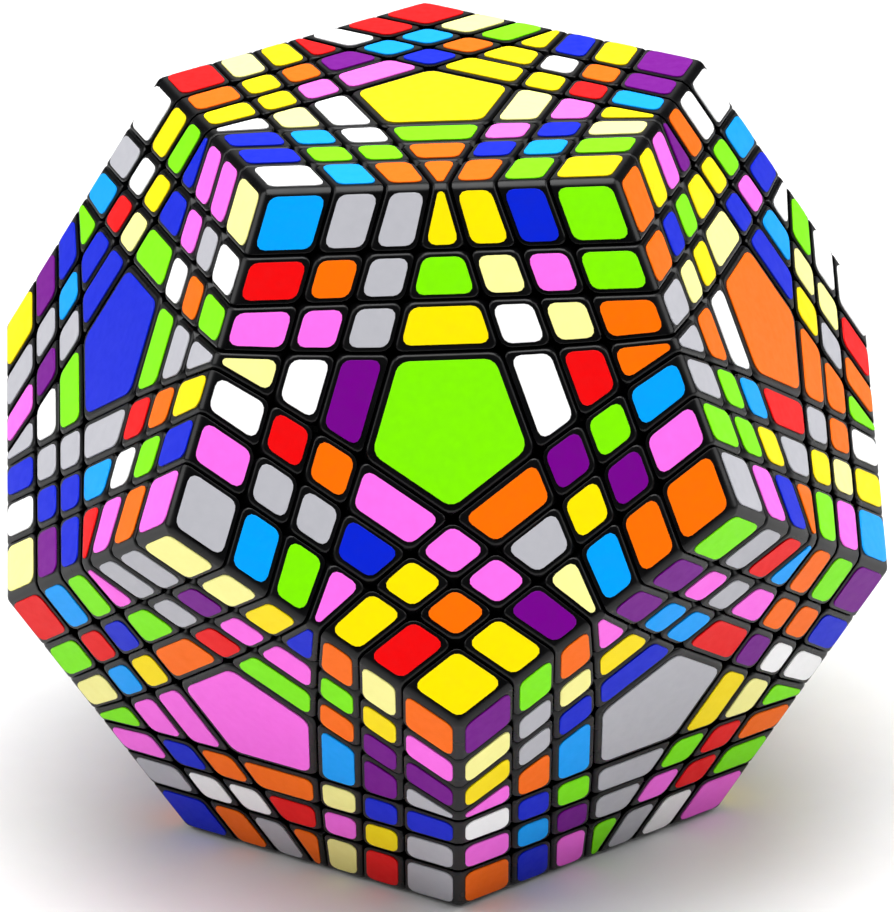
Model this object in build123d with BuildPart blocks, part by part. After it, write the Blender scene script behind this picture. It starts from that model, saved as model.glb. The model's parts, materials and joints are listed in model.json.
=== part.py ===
from build123d import *
import os
from math import asin, cos, hypot, radians, sin, sqrt, tan

# A dodecahedral twisty puzzle of order seven: three layers can turn on each of its twelve
# faces. Lengths are in millimetres and angles in degrees. The puzzle rests on one face, with
# the opposite face up. Planes and cells are worked out about the puzzle's centre, and every
# piece is then seated about CENTRE, so that z = 0 is the surface it rests on.

# ---- driving dimensions ----
FACE_INRADIUS = 57.5  # puzzle's centre to the plastic of a face
STICKER_THICKNESS = 0.2
MIDDLE_SHARES = (0.19, 0.331, 0.479)  # a face's edge to each cut, halfway along, in edge lengths
END_SHARES = (0.19, 0.331, 0.4555)  # the same where the cut meets the next face: the third bows
GAP = 0.15  # each piece stands this far back from a cut, so neighbours are 0.3 apart
RIDGE_TRIM = 0.35  # taken off the sharp ridges between faces
STICKER_INSET = 0.88  # bare plastic from a sticker to a cut
CENTRE_INSET = 1.12  # the same round the large sticker in the middle of a face
RIDGE_INSET = 1.1  # bare plastic from a sticker to the edge of its face

# ---- mechanism: a cut is flat, or nearly so, at the surface, then a cone, then a wider cone ----
FLAT_WIDTH = 0.6  # the flat part of a cut, measured in from halfway along it
CONE_ANGLES = (41.5, 46.5, 51.5)  # half-angles of the three cuts where they reach FOOT_TOP
FOOT_SHIFT = 2.0  # below FOOT_TOP each cone opens by this, so feet reach under neighbours
FOOT_TOP = 38.0
FOOT_BOTTOM = 35.0
NECK_TOP = 40.0
STEM_HALF_ANGLE = 5.5  # stems and feet are no wider than this, seen from the centre
FOOT_SPREAD = 0.975  # cosine that keeps a foot's flat top below the round of FOOT_TOP

# ---- core, screws, springs and caps ----
CORE_RADIUS = 34.7
CORE_WALL = 3.0
BOSS_RADIUS = 4.0
BOSS_BOTTOM = 22.0
SCREW_RADIUS = 1.5
SCREW_CLEARANCE = 0.2
SCREW_TIP = 24.0
SCREW_HEAD_RADIUS = 3.2
SCREW_HEAD_BOTTOM = 48.5
SCREW_HEAD_HEIGHT = 2.4
DRIVE_RADIUS = 1.4
DRIVE_DEPTH = 1.5
BORE_RADIUS = 3.75
BORE_BOTTOM = 38.6
CORE_BORE_CLEARANCE = 0.05
BOSS_SUNK = 1.0  # a boss stops this far under the outside of the core
SPRING_RADIUS = 2.75
WIRE_RADIUS = 0.35
SPRING_PLAY = 0.175  # air between each end of the coil and what it presses on
SPRING_TURNS = 5
CAP_THICKNESS = 2.4
CAP_PLUG_LENGTH = 1.6

# ---- worked out from the above ----
FACE_TILT = 63.434949  # between the outward directions of neighbouring faces
RING_LIFT = 90 - FACE_TILT  # lift of the upper ring's directions above the horizontal
SIDE_LEAN = 18  # a face's side leans out this far from square to the side next to it
EDGE = 2 * FACE_INRADIUS * tan(radians(FACE_TILT / 2)) * tan(radians(36))
RIM = FACE_INRADIUS * tan(radians(FACE_TILT / 2))  # middle of a face to the middle of its edge
CENTRE = Vector(0, 0, FACE_INRADIUS + STICKER_THICKNESS)
RIDGE_RADIUS = FACE_INRADIUS / cos(radians(FACE_TILT / 2))
CORNER_RADIUS = EDGE * sqrt(3) * (1 + sqrt(5)) / 4
BLOCK = 2.2 * CORNER_RADIUS  # side of a cube that holds the whole puzzle with room to spare
MIDDLE = 4  # the layer number of what no turn of a face moves
NEAR = 70  # a face whose direction is further than this from a piece can't touch it
ON_AXIS = 1  # a piece nearer than this to a face's axis is that face's centre


def face_directions(start):
    """Outward directions of the top, the upper ring, the lower ring and the bottom."""
    first = Vector(cos(radians(RING_LIFT)), 0, sin(radians(RING_LIFT)))
    upper = [first.rotate(Axis.Z, start + 72 * step) for step in range(5)]
    lower = [face * -1 for face in upper]
    return [Vector(0, 0, 1)] + upper + lower + [Vector(0, 0, -1)]


# Pieces are carved on the reference faces: the top and the ring that starts at +X. They are
# then seated on the puzzle's own faces, whose ring starts with the front face at -Y.
REFERENCE = face_directions(0)
FACES = face_directions(-90)
TOP = 0
BOTTOM = 11

# A kind of piece is known by its layer under each of the faces that it is near.
KINDS = {
    "corners": [(1, 1, 1)],
    "outer_wings": [(1, 1, 2)],
    "inner_wings": [(1, 1, 3)],
    "outer_x": [(1, 2, 2)],
    "inner_x": [(1, 3, 3)],
    "obliques": [(1, 2, 3), (1, 3, 2)],
    "middle_edges": [(1, 1)],
    "outer_t": [(1, 2)],
    "inner_t": [(1, 3)],
}


def centre_line(layers):
    """Direction of the line down the middle of a cell, from its angle to each named face."""
    cosines = {2: cos(radians(sum(CONE_ANGLES[:2]) / 2)), 3: cos(radians(sum(CONE_ANGLES[1:]) / 2))}
    tilt = cos(radians(FACE_TILT))
    share = tilt / (1 + tilt * (len(layers) - 1))
    free = layers.count(1)
    known = [cosines[layer] for layer in layers if layer > 1]
    # The free faces share one cosine, the larger root of a quadratic that makes a unit vector.
    a = free - share * free * free
    b = -share * free * sum(known)
    c = sum(value * value for value in known) - share * sum(known) ** 2 - (1 - tilt)
    free_cosine = (sqrt(b * b - a * c) - b) / a
    wanted = [cosines.get(layer, free_cosine) for layer in layers]
    line = Vector(0, 0, 0)
    for value, face in zip(wanted, REFERENCE):
        line = line + face * (value - share * sum(wanted))
    return line.normalized()


def near_faces(layers):
    """Each reference face that can bound a cell, with the cell's layer under it."""
    line = centre_line(layers)
    found = []
    for index, face in enumerate(REFERENCE):
        layer = layers[index] if index < len(layers) else MIDDLE
        if line.get_angle(face) < NEAR:
            found.append((face, layer))
    return found


def away(face, line):
    """Unit direction square to a face's axis, pointing from it to a cell's centre line."""
    return (line - face * line.dot(face)).normalized()


def surface_point(share, along):
    """Radius and height, about a face's axis, of a point on the next face.

    The point is a share of an edge length away from their common ridge.
    """
    strip = share * EDGE
    radius = hypot(RIM + strip * cos(radians(FACE_TILT)), along)
    return radius, FACE_INRADIUS - strip * sin(radians(FACE_TILT))


def rim_points(layer):
    """Two points of the flat or nearly flat part of a cut: near its middle, and at its end."""
    middle = surface_point(MIDDLE_SHARES[layer - 1], 0)
    share = END_SHARES[layer - 1]
    end = surface_point(share, EDGE * (0.5 + share * tan(radians(SIDE_LEAN))))
    rise = (end[1] - middle[1]) / (end[0] - middle[0])
    return (middle[0] - FLAT_WIDTH, middle[1] - rise * FLAT_WIDTH), end


def keep_inside(face, line, start, end, narrow=1.0):
    """Plane along the cone through two (radius, height) points, facing away from the axis.

    With narrow below one it is the chord plane between two of the cone's straight lines.
    """
    side = away(face, line)
    low = side * (start[0] * narrow) + face * start[1]
    slope = side * (end[1] - start[1]) - face * ((end[0] - start[0]) * narrow)
    normal = slope.normalized()
    return Plane(origin=low - normal * GAP, z_dir=normal)


def keep_outside(face, line, start, end):
    """Plane along the same cone, facing the axis, for a piece that stays outside the cone."""
    along = keep_inside(face, line, start, end)
    return Plane(origin=along.origin + along.z_dir * (2 * GAP), z_dir=along.z_dir * -1)


def cone_points(layer):
    """Ends of the cone that a cut turns into: at FOOT_TOP, and where its flat part stops."""
    angle = radians(CONE_ANGLES[layer - 1])
    return (FOOT_TOP * sin(angle), FOOT_TOP * cos(angle)), rim_points(layer)[0]


def foot_points(layer):
    """Two points of the wider cone that the same cut follows below FOOT_TOP."""
    angle = radians(CONE_ANGLES[layer - 1] + FOOT_SHIFT)
    return (0, 0), (FOOT_TOP * sin(angle), FOOT_TOP * cos(angle))


def chord(layer):
    """How far in a chord plane lies, as a share of the cone's radius, for a stem's width."""
    return cos(asin(sin(radians(STEM_HALF_ANGLE + 1)) / sin(radians(CONE_ANGLES[layer - 1]))))


def carve(planes):
    """What is left of a large block inside every plane; their z_dir points out of the piece."""
    with BuildPart() as block:
        Box(BLOCK, BLOCK, BLOCK)
        for plane in planes:
            split(bisect_by=plane, keep=Keep.BOTTOM)
    return block.part


def flank_planes(layers):
    """Planes through the centre that limit how wide a stem and foot are."""
    line = centre_line(layers)
    if layers == (1, 1, 1):
        sides = [away(face, line) * -1 for face in REFERENCE[:3]]
    elif len(layers) == 3 and layers.count(1) == 2:
        across = line.cross(away(REFERENCE[2], line))
        sides = [across, across * -1]
    elif len(layers) == 3:
        return []
    elif len(layers) == 2:
        across = line.cross(away(REFERENCE[0], line))
        sides = [across, across * -1]
    else:
        return []
    planes = []
    for side in sides:
        square = (side - line * side.dot(line)).normalized()
        tilted = square * cos(radians(STEM_HALF_ANGLE)) - line * sin(radians(STEM_HALF_ANGLE))
        planes.append(Plane(origin=(0, 0, 0), z_dir=tilted))
    return planes


def outer_side(face, line, layer):
    """The side of a cell that faces a named face: that face, or the cut above the layer."""
    if layer == 1:
        return Plane(origin=face * FACE_INRADIUS, z_dir=face)
    return keep_outside(face, line, *rim_points(layer - 1))


def inner_side(face, line, layer):
    """The side of a cell on the cut below its layer."""
    if line.get_angle(face) < ON_AXIS:
        return Plane(origin=face * (rim_points(layer)[0][1] + GAP), z_dir=face * -1)
    return keep_inside(face, line, *rim_points(layer), narrow=chord(layer))


def head_planes(layers):
    """The visible block: its faces, the flat parts of the cuts and the trimmed ridges."""
    line = centre_line(layers)
    planes = []
    outer_faces = [face for face, layer in near_faces(layers) if layer == 1]
    for face, layer in near_faces(layers):
        planes.append(outer_side(face, line, layer))
        if layer > 1:
            planes.append(keep_outside(face, line, *cone_points(layer - 1)))
        if layer != MIDDLE:
            planes.append(inner_side(face, line, layer))
    for index, face in enumerate(outer_faces):
        for other in outer_faces[index + 1 :]:
            ridge = (face + other).normalized()
            planes.append(Plane(origin=ridge * (RIDGE_RADIUS - RIDGE_TRIM), z_dir=ridge))
    return planes


def stem_planes(layers):
    """The stalk under the head, between the cones of the cuts."""
    line = centre_line(layers)
    planes = flank_planes(layers)
    planes.append(Plane(origin=line * (FOOT_TOP + GAP), z_dir=line * -1))
    for face, layer in near_faces(layers):
        if layer == 1:
            planes.append(Plane(origin=face * (FACE_INRADIUS - FLAT_WIDTH), z_dir=face))
        else:
            planes.append(outer_side(face, line, layer))
            planes.append(keep_outside(face, line, *cone_points(layer - 1)))
        if layer != MIDDLE and line.get_angle(face) > ON_AXIS:
            planes.append(keep_inside(face, line, *cone_points(layer), narrow=chord(layer)))
    return planes


def foot_planes(layers, is_neck):
    """The foot between the core and the stems of the neighbours, or the neck that joins it."""
    line = centre_line(layers)
    planes = flank_planes(layers)
    planes.append(Plane(origin=line * (FOOT_BOTTOM + GAP), z_dir=line * -1))
    top = NECK_TOP if is_neck else (FOOT_TOP - GAP) * FOOT_SPREAD
    planes.append(Plane(origin=line * top, z_dir=line))
    for face, layer in near_faces(layers):
        if layer > 1:
            planes.append(keep_outside(face, line, *foot_points(layer - 1)))
        if layer != MIDDLE and line.get_angle(face) > ON_AXIS:
            points = cone_points(layer) if is_neck else foot_points(layer)
            planes.append(keep_inside(face, line, *points, narrow=chord(layer)))
    return planes


def make_piece(layers):
    """A moulding of one kind: head, stem, neck and foot in one solid."""
    head = carve(head_planes(layers))
    stem = carve(stem_planes(layers))
    neck = carve(foot_planes(layers, is_neck=True))
    foot = carve(foot_planes(layers, is_neck=False))
    with BuildPart() as piece:
        add(head)
        add(stem)
        add(neck)
        add(foot)
    return piece.part


def upright(side, inset):
    """Plane square to the top face, set back from the line where a side meets that face."""
    top = REFERENCE[TOP]
    across = (side.z_dir - top * side.z_dir.dot(top)).normalized()
    reach = side.z_dir.dot(side.origin - top * FACE_INRADIUS) / side.z_dir.dot(across)
    return Plane(origin=across * (reach - inset), z_dir=across)


def make_sticker(layers):
    """A thin plate on the top face over one cell."""
    line = centre_line(layers)
    planes = [
        Plane(origin=(0, 0, FACE_INRADIUS + STICKER_THICKNESS), z_dir=(0, 0, 1)),
        Plane(origin=(0, 0, FACE_INRADIUS), z_dir=(0, 0, -1)),
    ]
    for face, layer in near_faces(layers)[1:]:
        inset = STICKER_INSET - GAP
        if layer == 1:
            inset = RIDGE_INSET
        elif layers == (1,):
            inset = CENTRE_INSET - GAP
        planes.append(upright(outer_side(face, line, layer), inset))
        if layer != MIDDLE:
            inset = CENTRE_INSET if layers == (1, 3) else STICKER_INSET
            planes.append(upright(inner_side(face, line, layer), inset - GAP))
    return carve(planes)


def seat(first, second):
    """Location that takes the top reference face to one face and +X towards a second."""
    up = FACES[first]
    towards = FACES[second] - up * up.dot(FACES[second])
    return Plane(origin=CENTRE, x_dir=towards, z_dir=up).location


def neighbours(first, second):
    return 0 < FACES[first].get_angle(FACES[second]) < NEAR


PAIRS = [(a, b) for a in range(12) for b in range(12) if a != b and neighbours(a, b)]
TRIPLES = [
    (a, b, c)
    for a, b in PAIRS
    for c in range(12)
    if (b, c) in PAIRS and (a, c) in PAIRS and FACES[a].cross(FACES[b]).dot(FACES[c]) > 0
]


def cells(layers, is_sticker=False):
    """The faces named by every cell of a kind, each cell once, or once for each face."""
    if len(layers) == 1:
        return [(face,) for face in range(12)]
    found = PAIRS if len(layers) == 2 else TRIPLES
    if set(layers) == {1} and not is_sticker:
        found = [faces for faces in found if faces[0] == min(faces)]
    return found


def body_of(faces, layers):
    """The rigid body that a cell belongs to: a layer of the top or bottom, or the waist."""
    for face, layer in zip(faces, layers):
        if face == TOP:
            return f"top_layer_{layer}"
        if face == BOTTOM:
            return f"bottom_layer_{layer}"
    return "waist"


def second_face(faces):
    """A neighbour to turn the copy towards; a centre may turn towards any of them."""
    return faces[1] if len(faces) > 1 else next(b for a, b in PAIRS if a == faces[0])


def write(part, name):
    part.label = name
    export_step(part, f"parts/{name}.step")


os.makedirs("parts", exist_ok=True)

# ---- the moulded pieces of every kind, sorted into the bodies that turn together ----
placed = {}
for kind, variants in KINDS.items():
    for layers in variants:
        moulding = make_piece(layers)
        for faces in cells(layers):
            name = f"{body_of(faces, layers)}_{kind}"
            seats = placed.setdefault(name, {}).setdefault(layers, (moulding, []))[1]
            seats.append(seat(faces[0], second_face(faces)))

# ---- the centre: a post with a counterbore, and the cap that closes it ----
with BuildPart() as centre_post:
    add(make_piece((1,)))
    split(bisect_by=Plane.XY.offset(FACE_INRADIUS - CAP_THICKNESS), keep=Keep.BOTTOM)
    with BuildSketch(Plane.XY.offset(BORE_BOTTOM)):
        Circle(BORE_RADIUS)
    extrude(amount=FACE_INRADIUS, mode=Mode.SUBTRACT)
    with BuildSketch(Plane.XY):
        Circle(SCREW_RADIUS + SCREW_CLEARANCE)
    extrude(amount=FACE_INRADIUS, mode=Mode.SUBTRACT)

with BuildPart() as centre_cap:
    add(carve(head_planes((1,))))
    split(bisect_by=Plane.XY.offset(FACE_INRADIUS - CAP_THICKNESS), keep=Keep.TOP)
    with BuildSketch(Plane.XY.offset(FACE_INRADIUS - CAP_THICKNESS)):
        Circle(BORE_RADIUS - GAP)
    extrude(amount=-CAP_PLUG_LENGTH)

for kind, moulding in (("centre_posts", centre_post.part), ("centre_caps", centre_cap.part)):
    for faces in cells((1,)):
        name = f"{body_of(faces, (1,))}_{kind}"
        seats = placed.setdefault(name, {}).setdefault((1,), (moulding, []))[1]
        seats.append(seat(faces[0], second_face(faces)))

# ---- stickers: nine shapes round each corner of a face, three by each edge, one centre ----
sticker_kinds = [(1, a, b) for a in (1, 2, 3) for b in (1, 2, 3)] + [(1, 1), (1, 2), (1, 3), (1,)]
for layers in sticker_kinds:
    sticker = make_sticker(layers)
    for faces in cells(layers, is_sticker=True):
        name = f"{body_of(faces, layers)}_stickers"
        seats = placed.setdefault(name, {}).setdefault(layers, (sticker, []))[1]
        seats.append(seat(faces[0], second_face(faces)))

for name, shapes in placed.items():
    count = sum(len(seats) for moulding, seats in shapes.values())
    with BuildPart() as group:
        for moulding, seats in shapes.values():
            with Locations(*seats):
                add(moulding)
    write(group.part, name[:-1] if count == 1 else name)

# ---- the screw and the spring of one axis, standing on +Z ----
with BuildPart() as screw:
    with BuildSketch(Plane.XY.offset(SCREW_TIP)):
        Circle(SCREW_RADIUS)
    extrude(amount=SCREW_HEAD_BOTTOM - SCREW_TIP)
    with BuildSketch(Plane.XY.offset(SCREW_HEAD_BOTTOM)):
        Circle(SCREW_HEAD_RADIUS)
    extrude(amount=SCREW_HEAD_HEIGHT)
    with BuildSketch(Plane.XY.offset(SCREW_HEAD_BOTTOM + SCREW_HEAD_HEIGHT)):
        RegularPolygon(DRIVE_RADIUS, 6)
    extrude(amount=-DRIVE_DEPTH, mode=Mode.SUBTRACT)
    chamfer(screw.faces().sort_by(Axis.Z)[0].edges(), SCREW_RADIUS / 2)

with BuildPart() as spring:
    coil_start = BORE_BOTTOM + WIRE_RADIUS + SPRING_PLAY
    coil_height = SCREW_HEAD_BOTTOM - WIRE_RADIUS - SPRING_PLAY - coil_start
    with BuildLine() as coil:
        Helix(coil_height / SPRING_TURNS, coil_height, SPRING_RADIUS, center=(0, 0, coil_start))
    with BuildSketch(Plane(origin=coil.line @ 0, z_dir=coil.line % 0)):
        Circle(WIRE_RADIUS)
    sweep(is_frenet=True)

axis_seats = [seat(faces[0], second_face(faces)) for faces in cells((1,))]
for name, shape in (("axis_screws", screw.part), ("tension_springs", spring.part)):
    with BuildPart() as group:
        with Locations(*axis_seats):
            add(shape)
    write(group.part, name)

# ---- the core: a hollow ball with a boss for each screw, split into two halves ----
with BuildPart() as core_ball:
    with Locations(CENTRE):
        Sphere(CORE_RADIUS)
        Sphere(CORE_RADIUS - CORE_WALL, mode=Mode.SUBTRACT)
    with Locations(*[place * Location((0, 0, BOSS_BOTTOM)) for place in axis_seats]):
        Cylinder(
            BOSS_RADIUS,
            CORE_RADIUS - BOSS_SUNK - BOSS_BOTTOM,
            align=(Align.CENTER, Align.CENTER, Align.MIN),
        )
    with Locations(*axis_seats):
        Cylinder(
            SCREW_RADIUS + CORE_BORE_CLEARANCE,
            CORNER_RADIUS,
            align=(Align.CENTER, Align.CENTER, Align.MIN),
            mode=Mode.SUBTRACT,
        )

with BuildPart() as core_upper_half:
    add(core_ball.part)
    split(bisect_by=Plane.XY.offset(CENTRE.Z), keep=Keep.TOP)
write(core_upper_half.part, "core_upper_half")

with BuildPart() as core_lower_half:
    add(core_ball.part)
    split(bisect_by=Plane.XY.offset(CENTRE.Z), keep=Keep.BOTTOM)
write(core_lower_half.part, "core_lower_half")
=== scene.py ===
import json
import random
from math import atan2, cos, pi, radians, sin, tan

import bmesh
import bpy
from mathutils import Matrix, Vector

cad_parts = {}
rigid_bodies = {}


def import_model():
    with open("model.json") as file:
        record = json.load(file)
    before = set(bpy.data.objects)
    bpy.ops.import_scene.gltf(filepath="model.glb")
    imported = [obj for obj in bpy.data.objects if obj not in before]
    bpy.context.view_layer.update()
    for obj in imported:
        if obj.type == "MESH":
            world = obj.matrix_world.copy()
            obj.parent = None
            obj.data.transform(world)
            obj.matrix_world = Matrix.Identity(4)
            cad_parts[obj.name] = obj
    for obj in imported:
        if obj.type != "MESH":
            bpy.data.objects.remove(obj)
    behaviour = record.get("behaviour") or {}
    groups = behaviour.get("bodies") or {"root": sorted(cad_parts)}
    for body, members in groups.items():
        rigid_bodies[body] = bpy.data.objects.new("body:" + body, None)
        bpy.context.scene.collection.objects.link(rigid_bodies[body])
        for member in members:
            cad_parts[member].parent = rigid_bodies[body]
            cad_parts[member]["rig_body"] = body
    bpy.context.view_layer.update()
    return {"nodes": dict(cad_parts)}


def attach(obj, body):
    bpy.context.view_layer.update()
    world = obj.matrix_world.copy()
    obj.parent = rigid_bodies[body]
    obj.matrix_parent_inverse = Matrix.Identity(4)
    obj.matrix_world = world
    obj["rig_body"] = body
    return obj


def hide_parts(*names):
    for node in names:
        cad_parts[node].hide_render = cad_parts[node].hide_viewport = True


# The looks of an order-seven dodecahedral twisty puzzle: 542 black mouldings, 732 vinyl
# stickers, and the nylon core, steel screws and springs inside. Lengths are in metres, and
# MM turns a size in millimetres into metres.

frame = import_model()

MM = 0.001

# ---- the puzzle's own measures ----
FACE_INRADIUS = 57.5 * MM  # puzzle's centre to the plastic of a face
STICKER_THICKNESS = 0.2 * MM
CENTRE = Vector((0, 0, FACE_INRADIUS + STICKER_THICKNESS))
FACE_TILT = radians(63.434949)  # between the outward directions of neighbouring faces
RIM = FACE_INRADIUS * tan(FACE_TILT / 2)  # middle of a face to the middle of its edge
EDGE = 2 * RIM * tan(radians(36))
RIDGE_TRIM = 0.35 * MM
RIDGE_REACH = FACE_INRADIUS / cos(FACE_TILT / 2) - RIDGE_TRIM
CUT_SHARES = (0.19, 0.331, 0.465)  # a ridge to each cut of a face, in edge lengths
ON_SKIN = 0.004 * MM  # a corner nearer than this to the outside is on it

# ---- how the mouldings and stickers are softened ----
MERGE = 0.001 * MM
SLIVER = 0.28 * MM  # corners this near each other, deep in a seam, become one
FLAT_ENOUGH = radians(0.5)
STRAIGHT_ON = 0.8  # cosine of the bend past which an edge no longer continues another
DEEP = 3.0 * MM  # below this an outline's rounding isn't followed any further
BLOCK_CORNER = 1.5 * MM  # rounding of a block's outline, where its sides meet
BLOCK_SHOULDER = 0.42 * MM  # rounding where its top turns down into the seam
STICKER_CORNER = 1.8 * MM
CENTRE_CORNER = 2.4 * MM
TIGHT_CORNER = 0.9 * MM
TIGHT_SIDE = 2.4 * MM  # a sticker's side shorter than this has tight corners
CENTRE_REACH = 12.5 * MM  # the centre sticker's corners are the only ones nearer than this
STICKER_LIP = 0.05 * MM
LIP_SEGMENTS = 1
SHOULDER_SEGMENTS = 2
CORNER_SEGMENTS = 3
SMOOTH_BELOW = radians(50)

# ---- the springs under the screw heads ----
WIRE_RADIUS = 0.35 * MM
COIL_RADIUS = 2.75 * MM
COIL_TURNS = 5
COIL_FOOT = 39.125 * MM  # puzzle's centre to the first turn's wire, along a face's axis
COIL_PITCH = 1.77 * MM
WIRE_SIDES = 8
STEPS_PER_TURN = 16

MIX_A, MIX_B, MIX_RESULT = 6, 7, 2  # the colour sockets of a Mix node
NOISE_LOW, NOISE_HIGH = 0.3, 0.7  # a noise pattern's values mostly lie between these


def face_directions():
    """Outward directions of the top, the upper ring from the front, the lower ring, the bottom."""
    upper = []
    for step in range(5):
        turn = radians(72 * step - 90)
        upper.append(
            Vector((cos(turn) * sin(FACE_TILT), sin(turn) * sin(FACE_TILT), cos(FACE_TILT)))
        )
    return [Vector((0, 0, 1))] + upper + [-face for face in upper] + [Vector((0, 0, -1))]


FACES = face_directions()
RIDGES = [
    (first + second).normalized()
    for index, first in enumerate(FACES)
    for second in FACES[index + 1 :]
    if first.dot(second) > 0
]


# ---- materials ----
def paint(code):
    """Linear colour from an sRGB hex code."""
    linear = []
    for start in (1, 3, 5):
        value = int(code[start : start + 2], 16) / 255
        linear.append(value / 12.92 if value <= 0.04045 else ((value + 0.055) / 1.055) ** 2.4)
    return (*linear, 1.0)


def per_metre(size_mm):
    """Scale of a pattern whose grains are this many millimetres across."""
    return 1 / (size_mm * MM)


def add_node(tree, kind, sockets=(), links=(), **settings):
    """Adds a node with its own settings, the fixed values of its sockets, and its links."""
    node = tree.nodes.new(kind)
    for name, value in settings.items():
        setattr(node, name, value)
    for name, value in dict(sockets).items():
        node.inputs[name].default_value = value
    for name, source in dict(links).items():
        tree.links.new(source, node.inputs[name])
    return node


def start_material(name, **sockets):
    """A material with only its shader, the shader's fixed values, and Object coordinates."""
    material = bpy.data.materials.new(name)
    material.use_nodes = True
    tree = material.node_tree
    tree.nodes.clear()
    shader = add_node(tree, "ShaderNodeBsdfPrincipled", sockets)
    add_node(tree, "ShaderNodeOutputMaterial", links={"Surface": shader.outputs["BSDF"]})
    place = add_node(tree, "ShaderNodeTexCoord").outputs["Object"]
    return material, tree, shader, place


def mottle(tree, place, shader, size_mm, first, second, detail=2.0):
    """Blends two colours in soft patches of one size, and returns the patches."""
    patches = add_node(
        tree,
        "ShaderNodeTexNoise",
        {"Scale": per_metre(size_mm), "Detail": detail},
        {"Vector": place},
    ).outputs["Fac"]
    tone = add_node(
        tree,
        "ShaderNodeMix",
        {MIX_A: paint(first), MIX_B: paint(second)},
        {"Factor": patches},
        data_type="RGBA",
    )
    tree.links.new(tone.outputs[MIX_RESULT], shader.inputs["Base Color"])
    return patches


def vary_roughness(tree, shader, patches, least, most):
    """Lets the roughness follow the patches between two values."""
    spread = add_node(
        tree,
        "ShaderNodeMapRange",
        {"From Min": NOISE_LOW, "From Max": NOISE_HIGH, "To Min": least, "To Max": most},
        {"Value": patches},
    )
    tree.links.new(spread.outputs["Result"], shader.inputs["Roughness"])


def grain(tree, place, shader, size_mm, height_mm, detail=2.0):
    """Raises a fine bump whose grains have one size and height."""
    relief = add_node(
        tree,
        "ShaderNodeTexNoise",
        {"Scale": per_metre(size_mm), "Detail": detail},
        {"Vector": place},
    )
    bump = add_node(
        tree,
        "ShaderNodeBump",
        {"Strength": 1.0, "Distance": height_mm * MM},
        {"Height": relief.outputs["Fac"]},
    )
    tree.links.new(bump.outputs["Normal"], shader.inputs["Normal"])


def moulded_abs():
    """Black ABS from a polished steel mould.

    It gives the eye a deep black with soft broad reflections, a little duller where hands
    have been. Its skin has a 0.05 mm grain, drawn at 0.4 mm so that it shows.
    """
    material, tree, shader, place = start_material(
        "moulded black ABS", **{"IOR": 1.54, "Specular IOR Level": 0.22}
    )
    patches = mottle(tree, place, shader, 6.0, "#030304", "#060607")
    vary_roughness(tree, shader, patches, 0.24, 0.36)
    grain(tree, place, shader, 0.4, 0.002)
    return material


def vinyl_film(name, colour, shade):
    """Calendered PVC film, printed in one colour and die-cut.

    It gives the eye an even strong colour with a satin sheen and a slight orange peel from
    the adhesive below. The film's own mottle is under 1 mm and is drawn at 1.5 mm.
    """
    material, tree, shader, place = start_material(
        name, **{"IOR": 1.5, "Specular IOR Level": 0.12}
    )
    patches = mottle(tree, place, shader, 1.5, colour, shade)
    vary_roughness(tree, shader, patches, 0.34, 0.46)
    grain(tree, place, shader, 0.9, 0.002)
    return material


def natural_nylon():
    """Unpainted nylon 6, injection moulded.

    It gives the eye a warm waxy white that lets a little light in. Its flow marks run about
    4 mm apart.
    """
    material, tree, shader, place = start_material(
        "natural moulded nylon", **{"IOR": 1.53, "Subsurface Weight": 0.15}
    )
    patches = mottle(tree, place, shader, 4.0, "#d9d4c3", "#cbc5b2", detail=4.0)
    vary_roughness(tree, shader, patches, 0.42, 0.58)
    grain(tree, place, shader, 0.25, 0.004)
    return material


def plated_steel():
    """Zinc-plated, cold-headed screw steel.

    It gives the eye a bluish grey metal with a cloudy plating, whose crystals of about 0.1 mm
    are drawn at 0.3 mm.
    """
    material, tree, shader, place = start_material("zinc-plated screw steel", Metallic=1.0)
    patches = mottle(tree, place, shader, 1.2, "#b4b8bd", "#9a9ea6", detail=4.0)
    vary_roughness(tree, shader, patches, 0.28, 0.44)
    grain(tree, place, shader, 0.3, 0.002)
    return material


def spring_wire():
    """Drawn high-carbon spring wire, lightly oiled.

    It gives the eye a darker grey metal with fine die marks along it.
    """
    material, tree, shader, place = start_material("drawn spring steel", Metallic=1.0)
    patches = mottle(tree, place, shader, 0.8, "#8d8f93", "#6e7075", detail=4.0)
    vary_roughness(tree, shader, patches, 0.22, 0.38)
    grain(tree, place, shader, 0.12, 0.001)
    return material


BLACK_ABS = moulded_abs()
NYLON = natural_nylon()
PLATED_STEEL = plated_steel()
SPRING_STEEL = spring_wire()

# The twelve films, each with its colour and the slightly deeper shade it is mottled with.
FILMS = {
    "W": ("white vinyl film", "#fafafa", "#f2f2f3"),
    "R": ("red vinyl film", "#ee080c", "#e4070b"),
    "B": ("royal blue vinyl film", "#0523d2", "#0520c6"),
    "A": ("sky blue vinyl film", "#00a2ff", "#009af4"),
    "L": ("lime vinyl film", "#82f000", "#7be600"),
    "P": ("purple vinyl film", "#76008c", "#6d0084"),
    "Y": ("yellow vinyl film", "#ffe400", "#f8dc00"),
    "O": ("orange vinyl film", "#ff7000", "#f66a00"),
    "K": ("pink vinyl film", "#ff73eb", "#f86ae2"),
    "G": ("pale grey vinyl film", "#b7b7bd", "#afafb6"),
    "C": ("cream vinyl film", "#fffaa0", "#f8f296"),
    "D": ("dark green vinyl film", "#0a7a28", "#087224"),
}
FILM_MATERIALS = {letter: vinyl_film(*film) for letter, film in FILMS.items()}


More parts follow.
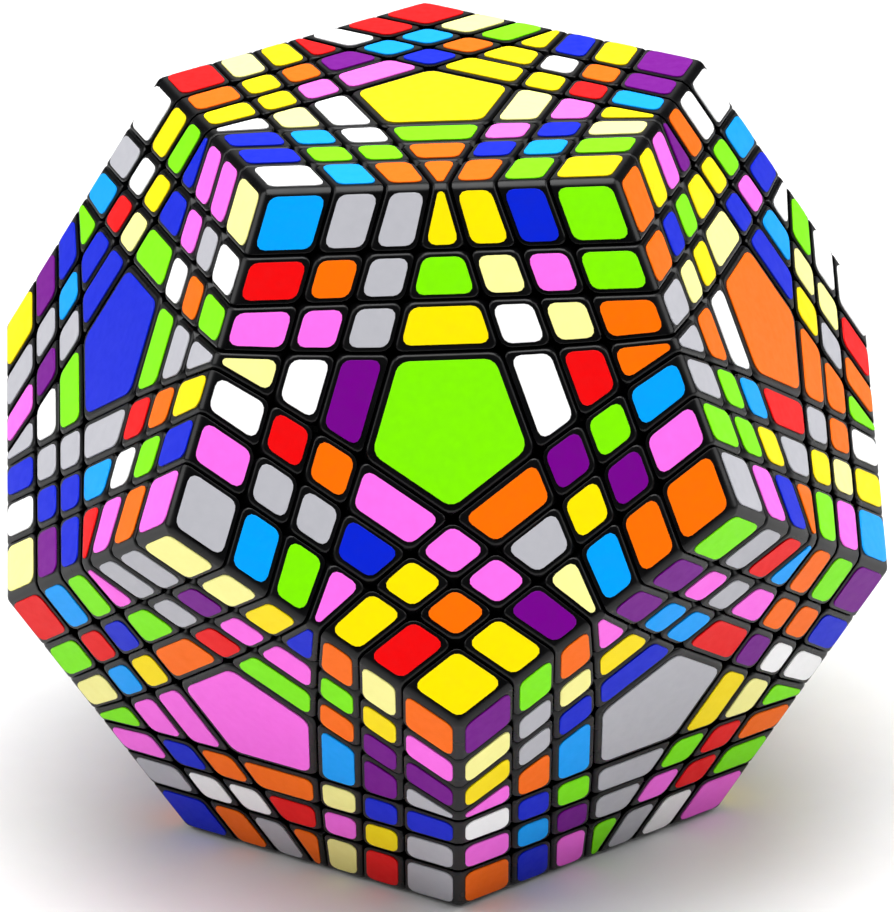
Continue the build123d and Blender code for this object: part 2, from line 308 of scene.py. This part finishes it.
# ---- which colour each sticker has ----
# A face is written as its middle letter and then five groups, one for each neighbour
# counter-clockwise as seen from outside, from its lowest-numbered neighbour on. A group has
# the three stickers beside the middle of that ridge, outermost first, and then the nine at
# the corner shared with the next neighbour: each row of three stays in one layer of this
# neighbour and goes inwards in the next one's.
SCRAMBLE = {
    0: ("Y", "OOL YLOLABCBK YKC PPAYORBWY YYY RCLRAOWAB RPK RCYOYOYYK WCW WBBALAOLW"),
    1: ("L", "YLY AGGROGKKG CWP GKWAGRLGO KBK YRYYOYPKK CGO OOAKPYALP ORW LLOBKCYCW"),
    2: ("O", "PYC OYKOBLGCY GOW GLGKLLBYA OGR AKLYCYWOG LOO WROWCGLCY WAB WABWLKOYB"),
    5: ("B", "BBL WYLGWYARC LBB YPBGGAKPG GWL CWBPBGBBG RAG KOKBLWYOR GGL CWLKGOKKW"),
    8: ("K", "BKL CCYGPKGGR KLO RALLRBCAY LKK BGKOWBGWO ORO GRCGYKBBC GPA OKPCYPOLO"),
    9: ("G", "KYB PLOCGCYGB KOA OKWBABKPL LGG KWGLRKORL LCY PBWLOWOOP AKR LGRPKGPAA"),
}
HIDDEN_MIDDLES = {3: "W", 4: "R", 6: "A", 7: "P", 10: "C", 11: "D"}
STICKERS_PER_COLOUR = 61
SCRAMBLE_SEED = 7


def across(face, other):
    """Unit direction in a face, square to the ridge it shares with another, towards it."""
    up = FACES[face]
    return (FACES[other] - up * up.dot(FACES[other])).normalized()


def neighbours(face):
    """The neighbours of a face, counter-clockwise from outside, the lowest number first."""
    up = FACES[face]
    ring = [other for other in range(12) if other != face and up.dot(FACES[other]) > 0]
    start = across(face, ring[0])
    side = up.cross(start)

    def turn(other):
        towards = across(face, other)
        return round(atan2(side.dot(towards), start.dot(towards)), 6) % (2 * pi)

    return sorted(ring, key=turn)


def cells_of_face(face):
    """The cells of a face in written order; a cell is its layers under its neighbours."""
    ring = neighbours(face)
    cells = [(face, frozenset())]
    for near, following in zip(ring, ring[1:] + ring[:1]):
        cells += [(face, frozenset({(near, layer)})) for layer in (1, 2, 3)]
        for layer in (1, 2, 3):
            for inward in (1, 2, 3):
                cells.append((face, frozenset({(near, layer), (following, inward)})))
    return cells


def scrambled_colours():
    """The letter of every cell; the faces turned away share what is left of each colour."""
    letters = {}
    for face, (middle, groups) in SCRAMBLE.items():
        letters.update(zip(cells_of_face(face), middle + groups.replace(" ", "")))
    left = [letter for letter in FILMS for _ in range(STICKERS_PER_COLOUR)]
    for letter in [*letters.values(), *HIDDEN_MIDDLES.values()]:
        if letter in left:
            left.remove(letter)
    random.Random(SCRAMBLE_SEED).shuffle(left)
    for face, middle in HIDDEN_MIDDLES.items():
        middle_cell, *others = cells_of_face(face)
        letters[middle_cell] = middle
        letters.update((cell, left.pop()) for cell in others)
    return letters


def cell_at(point):
    """The cell that a sticker's middle is in."""
    out = point - CENTRE
    face = max(range(12), key=lambda index: FACES[index].dot(out))
    layers = set()
    for other in neighbours(face):
        share = (RIM - across(face, other).dot(out)) / EDGE
        layer = 1 + sum(share > cut for cut in CUT_SHARES)
        if layer <= len(CUT_SHARES):
            layers.add((other, layer))
    return face, frozenset(layers)


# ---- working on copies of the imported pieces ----
def copy_of(node, name):
    """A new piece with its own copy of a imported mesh, its corners joined and its sides whole."""
    bpy.ops.object.select_all(action="DESELECT")
    piece = bpy.data.objects.new(name, frame["nodes"][node].data.copy())
    bpy.context.scene.collection.objects.link(piece)
    bpy.context.view_layer.objects.active = piece
    piece.select_set(True)
    bpy.ops.object.mode_set(mode="EDIT")
    bpy.ops.mesh.customdata_custom_splitnormals_clear()
    bpy.ops.mesh.select_all(action="SELECT")
    bpy.ops.mesh.remove_doubles(threshold=MERGE)
    bpy.ops.mesh.dissolve_limited(angle_limit=FLAT_ENOUGH)
    return piece


def pick_edges(piece, wanted):
    """Selects just the edges that a test accepts."""
    bpy.ops.mesh.select_mode(type="EDGE")
    bpy.ops.mesh.select_all(action="DESELECT")
    shape = bmesh.from_edit_mesh(piece.data)
    for edge in shape.edges:
        edge.select_set(wanted(edge))
    bmesh.update_edit_mesh(piece.data)


def finish_piece(piece, node, materials):
    """Smooths a piece, gives it its finish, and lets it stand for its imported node."""
    bpy.ops.object.mode_set(mode="OBJECT")
    bpy.ops.object.shade_smooth_by_angle(angle=SMOOTH_BELOW)
    weighted = piece.modifiers.new("flat tops", "WEIGHTED_NORMAL")
    weighted.keep_sharp = True
    bpy.ops.object.modifier_apply(modifier=weighted.name)
    piece.data.materials.clear()
    for material in materials:
        piece.data.materials.append(material)
    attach(piece, frame["nodes"][node]["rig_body"])
    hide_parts(node)


def depth_of(point):
    """How far a point is under the faces, and how far under the trimmed ridges."""
    out = point - CENTRE
    return (
        min(FACE_INRADIUS - face.dot(out) for face in FACES),
        min(RIDGE_REACH - ridge.dot(out) for ridge in RIDGES),
    )


def on_skin(corner):
    return min(depth_of(corner.co)) < ON_SKIN


def is_upright(edge):
    """Whether an edge runs down into a seam from the flat of a face, away from the ridges."""
    outer = [corner for corner in edge.verts if on_skin(corner)]
    return len(outer) == 1 and depth_of(outer[0].co)[1] > ON_SKIN


def outline_edges(piece):
    """The uprights of a moulding, each with the edges that continue it down into the seam."""
    found = set()
    for upright in [edge for edge in bmesh.from_edit_mesh(piece.data).edges if is_upright(edge)]:
        top = next(corner for corner in upright.verts if on_skin(corner))
        edge = upright
        while edge is not None and edge.index not in found:
            found.add(edge.index)
            low = edge.other_vert(top)
            down = (low.co - top.co).normalized()
            following = max(
                (other for other in low.link_edges if other != edge),
                key=lambda other: (other.other_vert(low).co - low.co).normalized().dot(down),
            )
            bend = (following.other_vert(low).co - low.co).normalized().dot(down)
            top = low
            edge = following if bend > STRAIGHT_ON and depth_of(low.co)[0] < DEEP else None
    return found


def is_shoulder(edge):
    """Whether an edge lies on the outside and the surface turns down or over at it."""
    return all(on_skin(corner) for corner in edge.verts)


def soften_block(piece, clamp):
    """Rounds a moulding's outline, then the shoulder all round its top and along its ridge."""
    bpy.ops.mesh.select_all(action="SELECT")
    bpy.ops.mesh.remove_doubles(threshold=SLIVER)
    outline = outline_edges(piece)
    pick_edges(piece, lambda edge: edge.index in outline)
    bpy.ops.mesh.bevel(
        offset=BLOCK_CORNER, segments=CORNER_SEGMENTS, profile=0.5, clamp_overlap=clamp
    )
    pick_edges(piece, is_shoulder)
    bpy.ops.mesh.bevel(
        offset=BLOCK_SHOULDER, segments=SHOULDER_SEGMENTS, profile=0.5, clamp_overlap=True
    )


def loose_shells(mesh):
    """The polygons of each separate shell, and the middle of its corners."""
    owner = list(range(len(mesh.vertices)))

    def shell_of(index):
        while owner[index] != index:
            owner[index] = owner[owner[index]]
            index = owner[index]
        return index

    for edge in mesh.edges:
        first, second = (shell_of(index) for index in edge.vertices)
        owner[first] = second
    shells = {}
    for polygon in mesh.polygons:
        shells.setdefault(shell_of(polygon.vertices[0]), []).append(polygon)
    for polygons in shells.values():
        widest = max(polygons, key=lambda polygon: polygon.area)
        yield polygons, widest.center


def colour_stickers(piece, letters):
    """Gives every sticker of a piece the film of its cell."""
    slots = list(FILMS)
    for polygons, middle in loose_shells(piece.data):
        slot = slots.index(letters[cell_at(middle)])
        for polygon in polygons:
            polygon.material_index = slot


def corner_width(edge):
    """How wide the rounding at one of a sticker's upright edges is, or None for other edges."""
    heights = [depth_of(corner.co)[0] for corner in edge.verts]
    if abs(heights[0] - heights[1]) < STICKER_THICKNESS / 2:
        return None
    out = edge.verts[0].co - CENTRE
    face = max(FACES, key=lambda direction: direction.dot(out))
    if (out - face * face.dot(out)).length < CENTRE_REACH:
        return CENTRE_CORNER
    sides = [side.calc_length() for side in edge.verts[0].link_edges if side != edge]
    return TIGHT_CORNER if min(sides) < TIGHT_SIDE else STICKER_CORNER


def is_sticker_lip(edge):
    """Whether an edge runs round the top of a sticker."""
    return all(depth_of(corner.co)[0] < -STICKER_THICKNESS / 2 for corner in edge.verts)


def cut_sticker_corners(piece):
    """Rounds the corners as the die cuts them, then eases the top of the cut."""
    shape = bmesh.from_edit_mesh(piece.data)
    corners = shape.edges.layers.float.new("corner width")
    for edge in shape.edges:
        edge[corners] = corner_width(edge) or 0
    for width in (CENTRE_CORNER, STICKER_CORNER, TIGHT_CORNER):
        pick_edges(piece, lambda edge: abs(edge[corners] - width) < MERGE)
        bpy.ops.mesh.bevel(
            offset_type="WIDTH",
            offset=width,
            segments=CORNER_SEGMENTS,
            profile=0.5,
            clamp_overlap=True,
        )
    pick_edges(piece, is_sticker_lip)
    bpy.ops.mesh.bevel(offset=STICKER_LIP, segments=LIP_SEGMENTS, clamp_overlap=True)


# ---- the mouldings and the stickers ----
LETTERS = scrambled_colours()
for node in frame["nodes"]:
    if node.endswith("stickers"):
        stickers = copy_of(node, f"{node}_film")
        cut_sticker_corners(stickers)
        finish_piece(stickers, node, FILM_MATERIALS.values())
        colour_stickers(stickers, LETTERS)
    elif node.startswith(("top", "bottom", "waist")) and "centre_post" not in node:
        mouldings = copy_of(node, f"{node}_moulded")
        soften_block(mouldings, clamp="outer_wings" not in node)
        finish_piece(mouldings, node, [BLACK_ABS])

# ---- what the core carries ----
for node, packed in frame["nodes"].items():
    if "centre_post" in node:
        packed.data.materials[0] = BLACK_ABS
    elif node.startswith("core_"):
        packed.data.materials[0] = NYLON
frame["nodes"]["axis_screws"].data.materials[0] = PLATED_STEEL


def wind_spring():
    """One spring standing on its face's axis: a round wire wound up by a screw modifier."""
    bpy.ops.object.select_all(action="DESELECT")
    bpy.ops.mesh.primitive_circle_add(
        vertices=WIRE_SIDES,
        radius=WIRE_RADIUS,
        location=(COIL_RADIUS, 0, COIL_FOOT),
        rotation=(pi / 2, 0, 0),
    )
    spring = bpy.context.object
    bpy.ops.object.transform_apply()
    winding = spring.modifiers.new("winding", "SCREW")
    winding.screw_offset = COIL_PITCH
    winding.iterations = COIL_TURNS
    winding.steps = winding.render_steps = STEPS_PER_TURN
    bpy.ops.object.modifier_apply(modifier=winding.name)
    bpy.ops.object.mode_set(mode="EDIT")
    bpy.ops.mesh.select_all(action="SELECT")
    bpy.ops.mesh.fill_holes(sides=WIRE_SIDES)
    bpy.ops.mesh.normals_make_consistent(inside=False)
    bpy.ops.object.mode_set(mode="OBJECT")
    return spring


springs = []
for outward in FACES:
    spring = wind_spring()
    upright = outward.to_track_quat("Z", "Y").to_matrix().to_4x4()
    spring.matrix_world = Matrix.Translation(CENTRE) @ upright
    bpy.ops.object.transform_apply()
    springs.append(spring)
bpy.ops.object.select_all(action="DESELECT")
for spring in springs:
    spring.select_set(True)
bpy.context.view_layer.objects.active = springs[0]
bpy.ops.object.join()
springs[0].name = "tension_springs_wound"
bpy.ops.object.shade_smooth_by_angle(angle=SMOOTH_BELOW)
springs[0].data.materials.append(SPRING_STEEL)
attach(springs[0], "core_and_waist")
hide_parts("tension_springs")


# ---- floor, light and camera ----
def backdrop_paper():
    """Matte white background paper, pressed from pulp.

    It gives the eye an even pale ground with a very soft mottle of about 8 mm.
    """
    material, tree, shader, place = start_material("matte background paper", IOR=1.4)
    patches = mottle(tree, place, shader, 8.0, "#ededed", "#e9e9e9")
    vary_roughness(tree, shader, patches, 0.85, 0.95)
    grain(tree, place, shader, 0.8, 0.01)
    return material


FLOOR_SIZE = 6.0
ROOM_GLOW = 0.05  # the room round the softboxes is nearly dark, which keeps the plastic black
bpy.ops.object.select_all(action="DESELECT")
bpy.ops.mesh.primitive_plane_add(size=FLOOR_SIZE)
floor = bpy.context.object
floor.name = "floor"
floor.data.materials.append(backdrop_paper())

world = bpy.data.worlds.new("pale studio")
world.use_nodes = True
surroundings = world.node_tree.nodes["Background"].inputs
surroundings["Color"].default_value = paint("#ffffff")
surroundings["Strength"].default_value = ROOM_GLOW
bpy.context.scene.world = world


def add_softbox(name, place, size, power):
    """A square soft light that faces the puzzle."""
    light = bpy.data.lights.new(name, "AREA")
    light.size = size
    light.energy = power
    softbox = bpy.data.objects.new(name, light)
    softbox.location = place
    softbox.rotation_euler = (Vector(place) - CENTRE).to_track_quat("Z", "Y").to_euler()
    bpy.context.scene.collection.objects.link(softbox)


# Each softbox with its place and size in metres and its power in watts.
SOFTBOXES = [
    ("overhead softbox", (0.0, 0.0, 1.3), 1.2, 27.5),
    ("right softbox", (1.1, -0.05, 0.8), 0.9, 8.0),
    ("left softbox", (-1.1, -0.05, 0.8), 0.9, 8.0),
    ("back softbox", (0.0, 1.7, 0.75), 1.3, 2.4),
]
for softbox in SOFTBOXES:
    add_softbox(*softbox)

# The camera stands in front and above, level but for a small roll, with a long lens.
CAMERA_AZIMUTH = radians(-1.259)
CAMERA_LIFT = radians(23.639)
CAMERA_ROLL = radians(-1.4035)
CAMERA_DISTANCE = 1.0255
FOCAL_LENGTH = 261.34  # millimetres, as lenses are marked
LENS_SHIFT = (0.00588, -0.01038)
NEAREST_SEEN = 0.01
back = Vector(
    (
        sin(CAMERA_AZIMUTH) * cos(CAMERA_LIFT),
        -cos(CAMERA_AZIMUTH) * cos(CAMERA_LIFT),
        sin(CAMERA_LIFT),
    )
)
level = Vector((cos(CAMERA_AZIMUTH), sin(CAMERA_AZIMUTH), 0))
axes = Matrix((level, back.cross(level), back)).transposed().to_4x4()
lens = bpy.data.cameras.new("camera")
lens.lens = FOCAL_LENGTH
lens.shift_x, lens.shift_y = LENS_SHIFT
lens.clip_start = NEAREST_SEEN
camera = bpy.data.objects.new("camera", lens)
camera.matrix_world = (
    Matrix.Translation(CENTRE + back * CAMERA_DISTANCE)
    @ axes
    @ Matrix.Rotation(CAMERA_ROLL, 4, "Z")
)
bpy.context.scene.collection.objects.link(camera)
bpy.context.scene.camera = camera
bpy.context.scene.view_settings.view_transform = "Standard"
